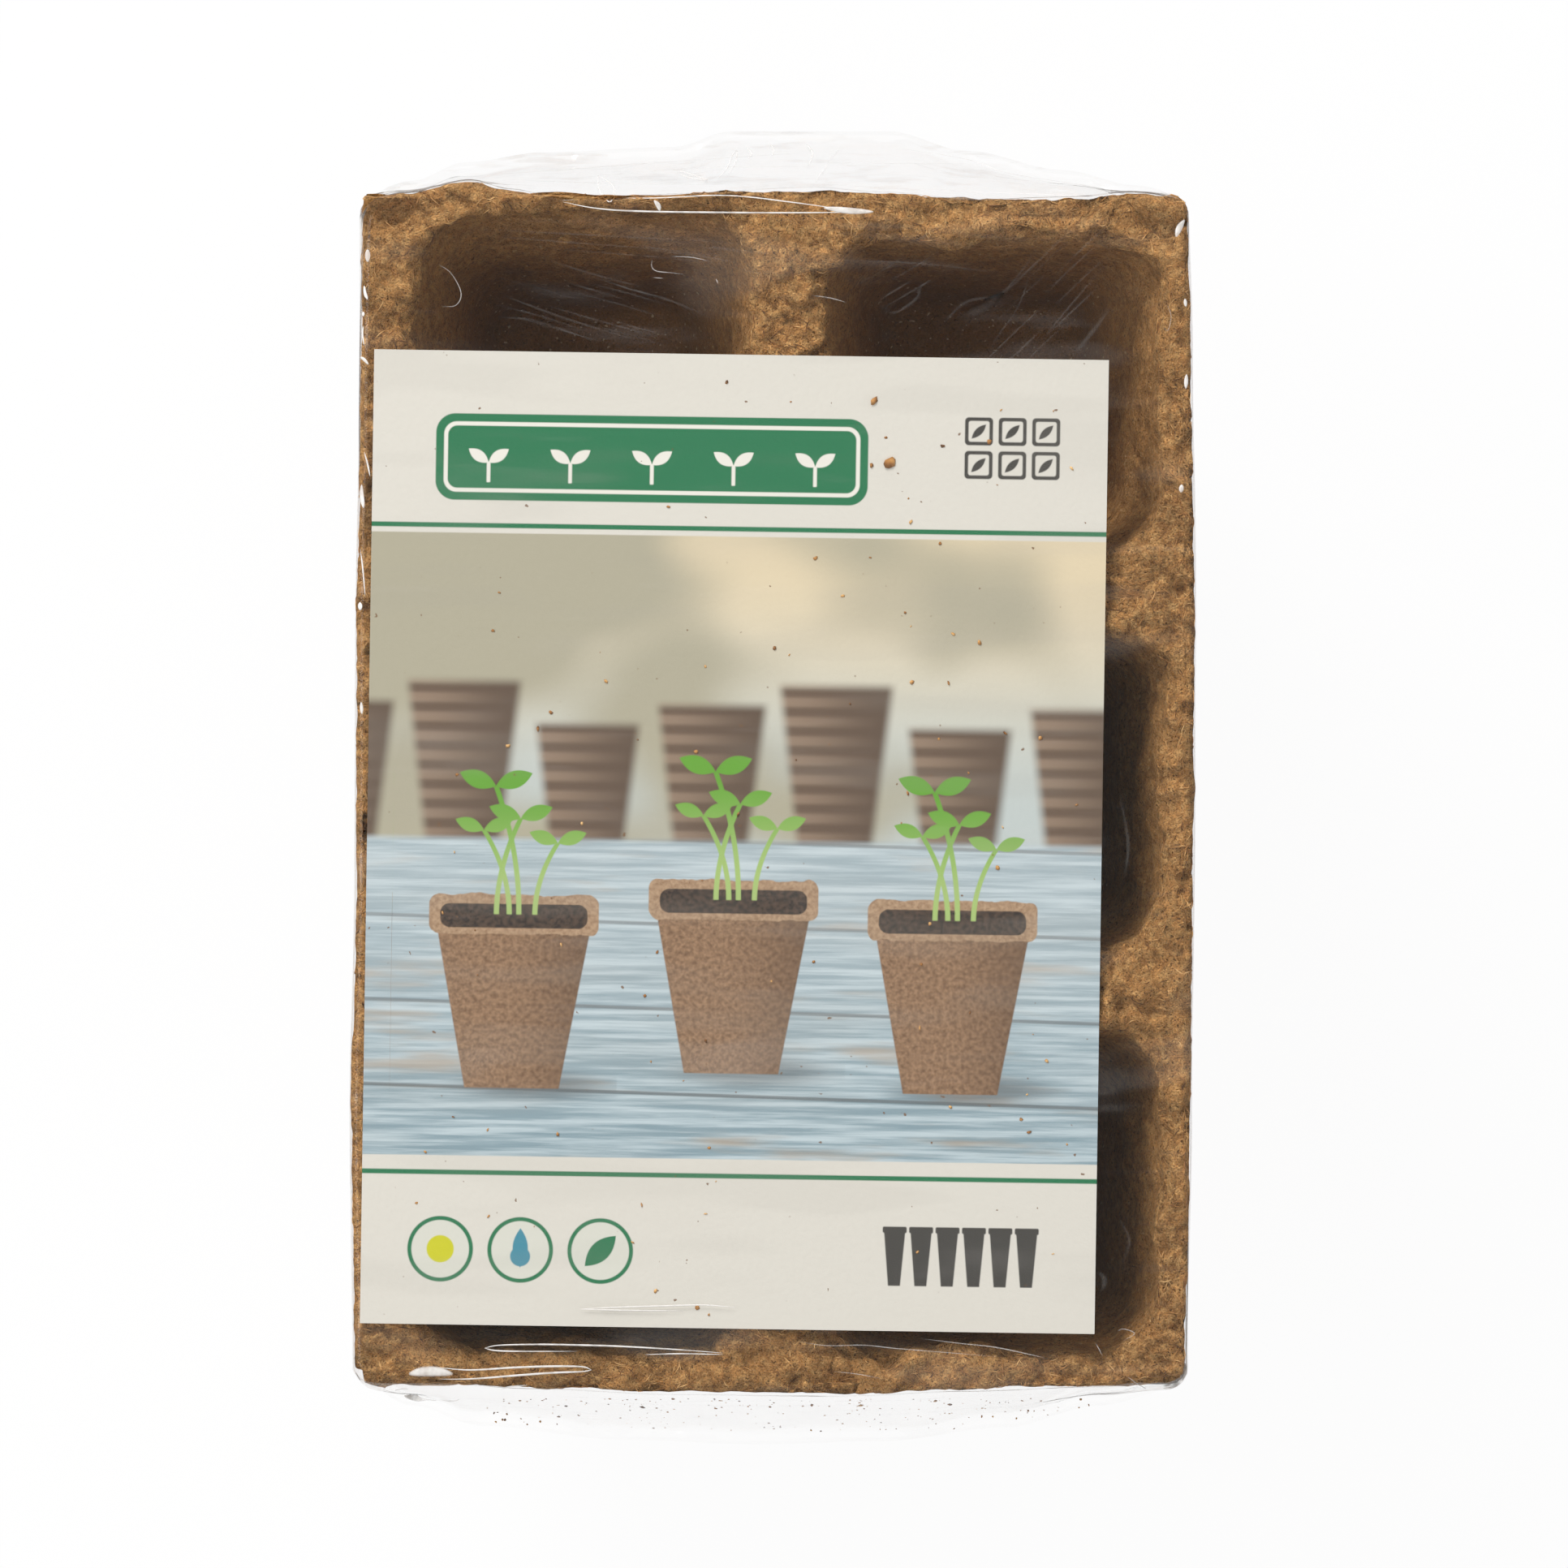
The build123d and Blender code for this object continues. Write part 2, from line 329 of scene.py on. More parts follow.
def roughen(mesh, skin, seed, top):
    """Gives a tray its torn edges, lumps and cracks. Walls that nest stay within their gap."""
    places, normals = read_points(mesh)
    upper = np.arange(len(places)) < skin
    x, y, z = places.T
    under = ~upper & (z > 40)
    places[under, 2] -= (LAND - WALL) * smoothstep(z[under], 44, 47.5)

    # the edges, which every tray tears in its own way
    for axis, other, half in ((0, 1, TRAY_HALF_X), (1, 0, TRAY_HALF_Y)):
        for sign in (-1, 1):
            inside = half - sign * places[:, axis]
            near = (inside < TORN_BAND) & (z > TORN_ABOVE)
            spots = places[near].copy()
            spots[:, axis] = sign * half
            spots[:, 2] = np.round(spots[:, 2] / 4)
            torn = sum(depth * lumps(spots, size, seed + which) for depth, size, which in TEARS)
            if top:
                torn = torn * (0.35 if axis == 0 else 0.8)
                out = through(spots[:, other], EDGES[axis, sign]) + torn
            else:
                out = np.minimum(torn * 1.3 - 0.3, 0.35)
            places[near, axis] += sign * out * np.clip(1 - inside[near] / TORN_BAND, 0, 1) ** 2

    # the mouths of the pots, which are not even, and widest towards the outer edges
    high, free = smoothstep(z, 30, 46), smoothstep(inside_edge(places), 0.3, 3)
    back = smoothstep(y, 62, 69) * (smoothstep(x, 4, 0) * (3.3 - 0.9 * smoothstep(z, 47.3, 49.5)) - 1)
    outward = np.stack((smoothstep(-x, 36, 46) * -1.6 + smoothstep(x, 40, 47) * 1.7, back), 1)
    places[:, :2] += (high * free)[:, None] * outward
    if top:
        wobble = np.stack([lumps(places * SEEN_FLAT, 9, seed + which) for which in (10, 13)], 1)
        places[:, :2] += (smoothstep(z, 41, 47) * free)[:, None] * 1.2 * wobble

    # lumps and cracks
    lip = np.where(upper, smoothstep(z, 46.4, 48.4), smoothstep(z, 41.5, 45))
    wall = np.where(upper & top, 0.45, 0.12)
    rough = np.maximum(lip, wall)
    normals[:, :2] *= (0.12 + 0.88 * smoothstep(inside_edge(places), 0.5, 4))[:, None]
    relief = sum(height * lumps(places, size, seed + which) for height, size, which in RELIEF)
    relief += 0.8 * (0.2 - abs(lumps(places, 2.3, seed + 9, (1.5, 1, 1))))
    crack = bell(lumps(places, 6.3, seed + 6) / 0.07)
    crack *= smoothstep(lumps(places, 14, seed + 7), 0.05, 0.3)
    places += normals * (rough * relief - lip * 1.1 * crack)[:, None]
    if top:
        dents = [depth * bell(dent_distance(places, ends) / width) for depth, width, *ends in DENTS]
        places[:, 2] -= sum(dents) * smoothstep(z, 43, 46)
    sunk = 0.95 + 0.9 * lumps(places * SEEN_FLAT, 14, seed + 8)
    places[:, 2] -= np.where(z > 46, lip * sunk, 0)
    places[upper, 2] = np.minimum(places[upper, 2], POT_HEIGHT - 0.03)
    mesh.vertices.foreach_set("co", places.ravel())
    mesh.update()

    # the walls were pressed smoother, and most so near the floor of a pot; the same share paints them lighter
    # near their top and darker towards the floor, as painted light and painted shade
    pressed = (smoothstep(z, 47.5, 43) + smoothstep(z, 38, 8)) / 2 * np.where(upper, 1, 0.5)
    mesh.attributes.new("pressed", "FLOAT", "POINT").data.foreach_set("value", pressed)


def tray_mesh(name, number, top):
    sheet, skin = tray_sheet(FINE_RINGS if top else PLAIN_RINGS)
    mesh = to_mesh(name, sheet)
    roughen(mesh, skin, number * 11, top)
    mesh.transform(Matrix.Translation((0, 0, FIRST_TRAY + (number - 1) * NEST_PITCH)))
    return mesh


def straws(name, tray, count, seed, wanted):
    """Loose wood fibres, half sunk in a tray's faces at the spots that are wanted."""
    chance = random.Random(seed)
    surface = surface_of(tray)
    spots = [vertex for vertex in tray.vertices if wanted(vertex.co)]
    lines = bpy.data.curves.new(name, "CURVE")
    lines.dimensions = "3D"
    lines.bevel_depth = 1
    lines.bevel_resolution = 0
    lines.use_fill_caps = True
    for _ in range(count):
        spot = chance.choice(spots)
        radius = chance.uniform(0.03, 0.07)
        step = chance.uniform(0.3, 0.9) * (1.8 if chance.random() < 0.08 else 1)
        bend = chance.uniform(-0.5, 0.5)
        heading = spot.normal.cross(Vector([chance.gauss(0, 1) for _ in range(3)])).normalized()
        place = spot.co + spot.normal * radius
        line = lines.splines.new("POLY")
        line.points.add(3)
        for number, (lift, thick) in enumerate(((-0.3, 0.5), (1.1, 1), (1.3, 0.9), (-0.2, 0.35))):
            near, normal, _, _ = surface.find_nearest(place)
            line.points[number].co = (*(near + normal * lift * radius * chance.uniform(0.6, 1.7)), 1)
            line.points[number].radius = thick * radius
            heading = (heading - normal * heading.dot(normal)).normalized()
            heading.rotate(Matrix.Rotation(bend * chance.uniform(0.4, 1.3), 3, normal))
            place = near + heading * step
    holder = bpy.data.objects.new(name, lines)
    mesh = bpy.data.meshes.new_from_object(holder)
    bpy.data.objects.remove(holder)
    return mesh


def crumbs(name, places, seed, sizes, flat=0.4):
    """Crumbs of peat that lie on a surface."""
    chance = random.Random(seed)
    heap = bmesh.new()
    for place, normal in places:
        size = chance.uniform(*sizes) * (2.2 if chance.random() < 0.06 else 1)
        shape = bmesh.ops.create_icosphere(heap, subdivisions=1, radius=size)["verts"]
        for vertex in shape:
            vertex.co *= chance.uniform(0.6, 1.25)
        bmesh.ops.scale(heap, vec=(1, chance.uniform(0.35, 1), flat), verts=shape)
        spin = Matrix.Rotation(chance.uniform(0, math.pi), 3, "Z")
        turn = normal.to_track_quat("Z", "Y").to_matrix() @ spin
        bmesh.ops.rotate(heap, cent=(0, 0, 0), matrix=turn, verts=shape)
        bmesh.ops.translate(heap, vec=place + normal * size * flat * 0.8, verts=shape)
    return to_mesh(name, heap)


# Clear film

# How far the film tents out past each end at the seam, in places across it
BACK_TENT = ((-52.6, 0.8), (-47, 2.2), (-40, 4.6), (-30, 5.9), (-13, 6.6), (-5.6, 8.6), (15, 8.6), (25, 6.1),
             (37.5, 3.6), (47, 1.6), (52.6, 0.6))
FRONT_TENT = ((-52.6, 0.3), (-47, 2.6), (-38, 5.2), (-20, 7.0), (-2, 7.6), (14, 7.2), (30, 5.4), (42, 2.6),
              (52.6, 0.3))
FILM_RINGS = 88
FILM_THICKNESS = 0.06


def film_mesh(name, stages, upper):
    """A web of film pressed out of a flat grid, ring by ring, to the stages of its form."""
    web = bmesh.new()
    bmesh.ops.create_grid(web, x_segments=2 * FILM_RINGS, y_segments=2 * FILM_RINGS, size=FILM_RINGS)
    flat = np.array([vertex.co for vertex in web.verts])
    ring, a, b = to_rings(*np.rint(flat[:, :2]).T)
    numbers, *columns = (np.array(column, float) for column in zip(*stages))
    half_x, half_y, corner, height, tent, shift = (np.interp(ring, numbers, column) for column in columns)
    x, y = on_ring(a, b, half_x, half_y, corner)
    x = x + shift
    end = smoothstep(abs(y) / half_y.clip(1), 0.93, 0.995)
    out = np.where(y > 0, through(x, BACK_TENT), through(x, FRONT_TENT))
    top_share = smoothstep(height, 112, 134)
    rim = np.where(y > 0, through(x, BACK_EDGE), through(x, FRONT_EDGE)).clip(-1.2, 1.6)
    side = smoothstep(abs(x) / half_x.clip(1), 0.93, 0.995)
    rim_x = np.where(x > 0, through(y, RIGHT_EDGE), through(y, LEFT_EDGE)).clip(-1, 1)
    y = y + np.sign(y) * end * (out * tent + rim * top_share)
    # above the seam the sides stay clear of the top tray's edges, which pass them when the film is lifted
    side_share = np.where(rim_x > 0, smoothstep(height, SEAM + 1, SEAM + 9), top_share)
    x = x + np.sign(x) * side * rim_x * side_share
    press(web, np.stack((x, y, height), 1))
    if not upper:
        bmesh.ops.reverse_faces(web, faces=web.faces[:])
    mesh = bpy.data.meshes.new(name)
    web.to_mesh(mesh)
    places, normals = read_points(mesh)
    press(web, places + normals * film_waves(places, tent, end, upper)[:, None])
    bmesh.ops.solidify(web, geom=web.faces[:], thickness=FILM_THICKNESS)
    web.to_mesh(mesh)
    web.free()
    return mesh


def film_waves(places, tent, end, upper):
    """How far the film stands off its even form: ripples, pleats at the seam and sag between rims."""
    x, y, z = places.T
    wall = smoothstep(abs(z - SEAM), 66, 62) if upper else smoothstep(z, 1.5, 6)
    taut = 0.25 * lumps(places, 9, 3, (1.6, 1, 2.2)) + 0.12 * lumps(places, 3.5, 4, (1, 1, 2.5))
    taut *= 0.3 + 0.7 * end * smoothstep(abs(x), 50, 40)
    pleats = 0.3 * lumps(places, 3.2, 5, (1, 1, 7)) + 0.35 * lumps(places, 7, 6, (1, 1, 4))
    pleats *= smoothstep(tent, 0.45, 1)
    above = (z - FIRST_TRAY - POT_HEIGHT) / NEST_PITCH
    sag = -0.1 * (1 - np.cos(2 * math.pi * above)) * (z > 44) * (1 - end * tent)
    lid = (1 - wall) * upper
    open_pots = smoothstep(y, 55, 60) * smoothstep(abs(y), 74, 70) * smoothstep(abs(x), 50, 46)
    ripple = 0.05 * lumps(places, 14, 7) + 0.02 * lumps(places, 5, 8)
    streaks = lumps(np.stack((x * 0.35 + y * 0.9, y * 0.35 - x * 0.9, z), 1), 4, 9, (1, 6, 1))
    loose = open_pots * (0.3 * lumps(places, 16, 10) + 0.16 * streaks - 0.35)
    return wall * (taut + pleats + sag) + lid * (ripple + loose)


def outline(more, corner=None):
    """Half width and length and corner of the lands, with more all round."""
    return TRAY_HALF_X + more, TRAY_HALF_Y + more, TRAY_CORNER + (more if corner is None else corner)


# Stages of the webs: ring, half width and length, corner, height, share of the tent, and shift across
LANDS = outline(0.4)
UPPER_STAGES = (
    (0, 0, 0, 0, FILM_TOP, 0, 0),
    (40, *outline(-2, -1), FILM_TOP, 0, 0),
    (44, *outline(-0.5, 0), FILM_TOP - 0.15, 0, 0),
    (46, *outline(0.2), FILM_TOP - 0.8, 0, 0),
    (48, *outline(0.2), FILM_TOP - 2, 0, 0),
    (54, *LANDS, FILM_TOP - 12, 0.16, 0),
    (85, *LANDS, SEAM + 0.2, 1, 0),
    (86, LANDS[0], LANDS[1] + 0.5, LANDS[2], SEAM + 0.12, 1, 0),
    (88, LANDS[0], LANDS[1] + 1.6, LANDS[2], SEAM + 0.12, 1, 0),
)
LOWER_STAGES = (
    (0, 0, 0, 0, 0.08, 0, POTS_SHIFT),
    (30, FEET_HALF_X - 0.8, FEET_HALF_Y - 0.8, FEET_CORNER - 0.8, 0.08, 0, POTS_SHIFT),
    (33, FEET_HALF_X + 0.4, FEET_HALF_Y + 0.4, FEET_CORNER + 0.4, 0.7, 0, POTS_SHIFT),
    (66, *LANDS, POT_HEIGHT - LAND, 0.15, 0),
    (84, *LANDS, SEAM - 0.2, 1, 0),
    (86, LANDS[0], LANDS[1] + 0.5, LANDS[2], SEAM - 0.12, 1, 0),
    (88, LANDS[0], LANDS[1] + 1.6, LANDS[2], SEAM - 0.12, 1, 0),
)


# Gleams, creases and streaks of the film, drawn as painted highlights and painted reflections: each its
# width, then the spots of the picture that it passes, across and down
GLEAMS = (
    (1.5, 504, 1693, 520, 1690, 540, 1690, 558, 1693),
    (0.3, 540, 1685, 580, 1688, 633, 1685, 680, 1683.5, 717, 1684, 729, 1688),
    (0.3, 540, 1699, 580, 1699, 633, 1695, 680, 1691.5, 717, 1690, 729, 1688),
    (0.26, 597, 1661, 616, 1657.5, 667, 1656.5, 720, 1657.5, 768, 1659, 836, 1663, 890, 1667),
    (0.22, 597, 1661, 610, 1664, 640, 1665, 711, 1665), (0.19, 795, 1669, 840, 1668, 891, 1669),
    (0.22, 714, 1613, 754, 1611, 819, 1609, 869, 1608, 907, 1611), (0.19, 714, 1613, 768, 1614.5, 842, 1615),
    (0.22, 693, 247, 740, 245, 812, 244, 895, 241, 974, 249, 1060, 261),
    (0.26, 693, 249, 737, 257, 796, 260.5, 914, 262, 1000, 262, 1076, 261),
    (0.9, 1015, 256, 1045, 259.5, 1076, 261), (0.7, 806, 247, 811, 253, 813, 260),
    (0.22, 737, 217, 748, 223, 757, 233, 752, 249, 742, 240, 737, 229, 737, 217),
    (0.26, 830, 209, 848, 214, 871, 222, 850, 219, 834, 213),
    (0.22, 883, 221, 895, 208, 903, 190, 908, 186, 906, 200, 897, 215), (0.22, 920, 182, 926, 190, 921, 196),
    (0.22, 950, 178, 953, 186, 951, 192), (0.26, 994, 178, 1001, 190, 996, 204),
    (0.9, 1449, 292, 1453, 281, 1459, 271), (0.5, 1460, 368, 1461, 378), (0.6, 1462, 461, 1461, 479),
    (0.7, 1456, 597, 1455, 607), (0.8, 453, 307, 453, 323), (0.6, 449, 352, 450, 361, 453, 369),
    (0.5, 448, 384, 448, 390), (0.3, 448, 402, 447, 412, 449, 426), (0.5, 444, 440, 449, 443, 454, 449),
    (0.26, 449, 557, 453, 572, 456, 587), (0.8, 446, 597, 446, 610, 448, 626),
    (0.22, 444, 676, 447, 700, 450, 735), (0.9, 444, 742, 444, 752), (0.5, 445, 865, 446, 880),
    (0.9, 498, 1720, 515, 1723, 538, 1725), (0.3, 487, 1713, 496, 1711, 503, 1711),
    (0.26, 618, 1711, 632, 1708, 650, 1706.5), (0.5, 542, 1724, 556, 1726, 566, 1724),
)
CREASES = (
    (0.17, 804, 318, 803, 328, 809, 334, 826, 336, 843, 338), (0.16, 825, 316, 851, 317, 875, 322),
    (0.14, 804, 342, 818, 343), (0.18, 882, 343, 885, 350),
    (0.16, 537, 324, 555, 336, 568, 360, 562, 376, 543, 378), (0.16, 1000, 364, 1022, 367, 1044, 373),
    (0.14, 1433, 403, 1439, 407, 1443, 390, 1438, 375),
    (0.18, 985, 1653, 1019, 1658, 1064, 1657.5, 1105, 1661.6, 1160, 1666, 1233, 1672),
    (0.18, 1133, 1649, 1181, 1655, 1226, 1660, 1267, 1668.5, 1291, 1674),
    (0.14, 1350, 1655, 1354, 1662, 1358, 1670), (0.14, 1376, 1641, 1384, 1637.5, 1398, 1643, 1384, 1652),
    (0.18, 1389, 1696, 1400, 1704, 1412, 1711), (0.14, 1443, 1699, 1451, 1711),
    (0.14, 1026, 1690, 1056, 1693, 1088, 1699), (0.18, 1000, 200, 1100, 202, 1193, 202),
    (0.14, 1085, 180, 1190, 196, 1243, 214, 1338, 229, 1389, 240), (0.18, 1007, 227, 1135, 234, 1379, 243),
    (0.18, 600, 216, 700, 209, 850, 198, 1000, 188), (0.18, 640, 222, 740, 226, 900, 228),
    (0.14, 690, 222, 790, 212, 900, 206, 1000, 206), (0.29, 1036, 182, 1028, 190, 1022, 198),
    (0.36, 1022, 198, 1016, 208, 1009, 217, 1005, 226),
)
STREAKS = (
    (1.8, 1034, 288, 1100, 292, 1160, 298, 1206, 305), (2.8, 618, 352, 690, 360, 756, 378),
    (1.6, 1178, 392, 1210, 380, 1236, 360), (0.4, 610, 360, 693, 391, 796, 423),
    (0.4, 614, 391, 661, 396, 740, 423), (0.4, 740, 344, 776, 356, 830, 372, 875, 391),
    (0.25, 570, 281, 717, 289, 926, 300), (0.25, 590, 290, 720, 300, 880, 312),
    (0.25, 660, 305, 800, 316, 900, 326), (0.3, 1000, 319, 1135, 325, 1233, 336),
    (0.5, 1081, 373, 1101, 385, 1128, 369, 1135, 353, 1149, 346),
    (0.5, 1155, 407, 1189, 373, 1237, 359, 1281, 302), (0.3, 1220, 434, 1230, 413, 1257, 373, 1277, 305),
    (0.3, 1277, 427, 1320, 375, 1368, 319), (0.8, 1321, 440, 1345, 410, 1368, 380),
    (3.0, 1180, 400, 1215, 382, 1250, 364), (0.9, 1352, 1566, 1361, 1577, 1357, 1592),
    (0.5, 1378, 1500, 1392, 1530, 1380, 1560), (0.6, 1380, 980, 1390, 1040, 1384, 1090),
)

# Bundles of streaks: how many, their middle, how far they spread, their length and their lean
BUNDLES = (
    (11, (720, 376), (70, 46), 75, 0.28),
    (6, (880, 312), (80, 18), 70, 0.14),
    (10, (1290, 370), (45, 62), 50, -0.95),
    (5, (1110, 340), (30, 40), 40, -0.6),
)


def highlight_creases(name, surface, lines, height):
    """Ridges where the film is creased or folded over, drawn along lines of the picture."""
    ridges = bmesh.new()
    layer = ridges.verts.layers.float.new("crease")
    for width, *line in lines:
        hits = [seen_on(surface, *spot) for spot in zip(line[::2], line[1::2])]
        hits = [(np.array(place), np.array(normal)) for place, normal in hits if place is not None]
        if len(hits) < 2:
            continue
        count = 6 * (len(hits) - 1)
        steps = np.linspace(0, len(hits) - 1, count + 1)
        place, normal = (soft_line(np.array(column), steps) for column in zip(*hits))
        normal /= np.linalg.norm(normal, axis=1)[:, None]
        side = np.cross(np.gradient(place, axis=0), normal)
        side /= np.linalg.norm(side, axis=1)[:, None]
        shape = bmesh.ops.create_grid(ridges, x_segments=4, y_segments=count, size=1)["verts"]
        for number, vertex in enumerate(shape):
            along, across = number // 5, number % 5 / 2 - 1
            taper = math.sin(math.pi * (0.04 + 0.92 * along / count)) ** 0.6
            wide = width / 2 * taper
            rise = 0.03 + height * min(wide, 0.25) * (1 - across ** 2)
            vertex.co = place[along] + side[along] * across * wide + normal[along] * rise
            # the share of the painted highlight across the ridge
            vertex[layer] = (1 - across ** 2) * taper * min(1, 1 / width)
    bmesh.ops.solidify(ridges, geom=ridges.faces[:], thickness=0.02)
    return to_mesh(name, ridges)


def bundle(chance, count, middle, spread, length, lean):
    """Faint streaks that lie side by side where the film was drawn one way, painted white as faint
    highlights.
    """
    for number in range(count):
        along = chance.uniform(-spread[0], spread[0])
        x = middle[0] + along
        y = middle[1] + along * lean + ((2 * number + chance.random()) / count - 1) * spread[1]
        half = chance.uniform(0.4, 1) * length
        middle_y = y + chance.uniform(-2, 2)
        width = chance.uniform(0.15, 0.4)
        yield width, x - half, y - half * lean, x, middle_y, x + half, y + half * lean


def soft_line(points, steps):
    """Points at each step along a smooth curve through the given ones."""
    padded = np.concatenate((2 * points[:1] - points[1:2], points, 2 * points[-1:] - points[-2:-1]))
    number = np.minimum(steps.astype(int), len(points) - 2)
    t = (steps - number)[:, None]
    a, b, c, d = (padded[number + shift] for shift in range(4))
    return b + t / 2 * (c - a + t * (2 * a - 5 * b + 4 * c - d + t * (3 * (b - c) + d - a)))


# Shaders

def sum_of(operation, turned=False):
    """An operator of wires that adds a Math node."""
    def add(self, other):
        first, second = (other, self) if turned else (self, other)
        return self.finish.math(operation, first, second)
    return add


class Wire:
    """One output of a shader node. Sums on wires add Math nodes."""

    def __init__(self, finish, socket):
        self.finish, self.socket = finish, socket

    def __abs__(self):
        return self.finish.math("ABSOLUTE", self)

    __add__ = __radd__ = sum_of("ADD")
    __sub__, __rsub__ = sum_of("SUBTRACT"), sum_of("SUBTRACT", turned=True)
    __mul__, __truediv__, __pow__ = sum_of("MULTIPLY"), sum_of("DIVIDE"), sum_of("POWER")


class Finish:
    """A material that is put together node by node."""

    def __init__(self, name, holder=None):
        self.holder = holder or bpy.data.materials.new(name)
        self.holder.use_nodes = True
        self.tree = self.holder.node_tree
        self.tree.nodes.clear()

    def node(self, kind, sockets=None, output=0, **settings):
        """Adds a node. Sockets are named or numbered, and hold a value or another node's wire."""
        node = self.tree.nodes.new("ShaderNode" + kind)
        for name, value in settings.items():
            if name == "stops":
                ramp = node.color_ramp
                while len(ramp.elements) < len(value):
                    ramp.elements.new(1)
                for element, (place, colour) in zip(ramp.elements, value):
                    element.position = place
                    element.color = (*colour, 1)
            else:
                setattr(node, name, value)
        for name, value in (sockets or {}).items():
            if isinstance(value, Wire):
                self.tree.links.new(value.socket, node.inputs[name])
            else:
                node.inputs[name].default_value = value
        return Wire(self, node.outputs[output])

    def math(self, operation, *values):
        return self.node("Math", dict(enumerate(values)), operation=operation)

    def most(self, first, *others):
        """The greatest of some values."""
        for other in others:
            first = self.math("MAXIMUM", first, other)
        return first

    def blend(self, share, low, high):
        """A colour between two others."""
        low, high = (value if isinstance(value, Wire) else (*value, 1) for value in (low, high))
        return self.node("Mix", {0: share, 6: low, 7: high}, 2, data_type="RGBA")

    def layers(self, colour, *others):
        """A colour with others laid over it, each by its share."""
        for share, other in others:
            colour = self.blend(share, colour, other)
        return colour

    def step(self, value, low, high, result_low=0, result_high=1):
        """A soft step from one result to the other as a value goes from low to high."""
        sockets = dict(enumerate((value, low, high, result_low, result_high)))
        return self.node("MapRange", sockets, interpolation_type="SMOOTHSTEP")

    def spots(self, place, scale, detail=2, rough=0.5, output=0):
        """Noise with lumps of about 1 / scale."""
        sockets = {"Vector": place, "Scale": scale, "Detail": detail, "Roughness": rough}
        return self.node("TexNoise", sockets, output)

    def place(self, turn=(0, 0, 0), shift=(0, 0, 0), scale=(1, 1, 1), of=None):
        """Object coordinates in millimetres, or other coordinates, moved, turned and scaled."""
        if of is None:
            of = self.node("TexCoord", output=3)
            scale = tuple(value / MM for value in scale)
        return self.node("Mapping", {"Vector": of, "Location": shift, "Rotation": turn, "Scale": scale})

    def over_clear(self, share, shader):
        """The whole material, of a shader over one that lets everything through."""
        clear = self.node("BsdfTransparent", {"Color": (1, 1, 1, 1)})
        return self.finish(self.node("MixShader", {0: share, 1: clear, 2: shader}))

    def finish(self, shader, output="OutputMaterial"):
        output = self.tree.nodes.new("ShaderNode" + output)
        self.tree.links.new(shader.socket, output.inputs["Surface"])
        return self.holder


def fibre_finish():
    """Coarse brown peat and wood fibre: straws that lie every way, dark crumbs and pits."""
    made = Finish("peat fibre")
    place = made.place()
    drift = made.spots(place, 0.55, 1, output=1)
    bent = made.node("VectorMath", {0: drift, 1: (2.4, 2.4, 2.4), 2: place}, operation="MULTIPLY_ADD")
    thick, thin = [], []
    turns = ((0, 0, 0.3), (0.5, 0.2, 1.5), (1.3, 0.4, 0.9), (0.2, 1.2, 2.3), (0.9, 0.9, 2.9))
    for number, turn in enumerate(turns):
        lie = made.place(turn, (number * 7.7, 0, 0), (0.42, 3.1, 3.1), of=bent)
        thick.append(made.step(abs(made.spots(lie, 1, 1, 0.4) - 0.5), 0.045, 0.005))
    for number, turn in enumerate(turns[:3]):
        lie = made.place(turn[::-1], (0, number * 5.3, 0), (0.8, 6.5, 6.5), of=bent)
        thin.append(made.step(abs(made.spots(lie, 1, 0) - 0.5), 0.07, 0.01))
    thick, thin = made.most(*thick), made.most(*thin)
    crumb = made.spots(place, 2.6, 2, 0.6)
    clots = made.spots(place, 0.75, 3, 0.6)
    clouds, patches = made.spots(place, 0.09), made.spots(place, 0.24)
    tone = made.spots(place, 1.1, 1)
    fuzz = made.spots(place, 4.2, 2, 0.6)
    pressed = made.node("Attribute", output=2, attribute_name="pressed")
    # painted light and painted shade on the pot walls: lighter near their top, darker towards the floor of a
    # pot
    painted_wall_light_and_shade = made.blend(made.step(pressed, 0.5, 1), (0.5, 0.24, 0.08), (0.33, 0.15, 0.048))
    bright = made.blend(made.step(tone, 0.4, 0.62), (0.75, 0.385, 0.132), (0.93, 0.57, 0.23))
    strawy = made.most(thick * 0.8, thin) * made.step(clots, 0.3, 0.6, 0.22, 0.62)
    specks = made.step(made.spots(place, 1.9, 0), 0.765, 0.8) * pressed
    pits = made.step(crumb, 0.4, 0.31) * (1 - pressed * 0.4)
    colour = made.layers(
        made.blend(made.step(clots, 0.34, 0.66), (0.225, 0.098, 0.03), (0.585, 0.284, 0.094)),
        (made.step(clouds, 0.38, 0.62) * 0.5, (0.6, 0.295, 0.097)),
        (made.step(patches, 0.47, 0.32) * 0.75, (0.13, 0.054, 0.016)),
        (pressed, painted_wall_light_and_shade),
        (strawy * (1 - pressed * 0.75), bright),
        (made.step(fuzz, 0.5, 0.34) * (0.5 - pressed * 0.25), (0.1, 0.042, 0.013)),
        (made.step(fuzz, 0.54, 0.68) * (0.42 - pressed * 0.2), (0.8, 0.44, 0.16)),
        (specks * 0.7, (0.85, 0.62, 0.33)),
        (pits * 0.85, (0.055, 0.024, 0.009)),
    )
    height = thick * 0.08 + thin * 0.05 + crumb * 0.34 + fuzz * 0.09 + clots * 1.5
    bump = made.node("Bump", {"Height": height * (1 - pressed * 0.5), "Distance": MM, "Strength": 1.0})
    sockets = {"Base Color": colour, "Roughness": 0.92, "Specular IOR Level": 0.25, "Normal": bump}
    return made.finish(made.node("BsdfPrincipled", sockets))


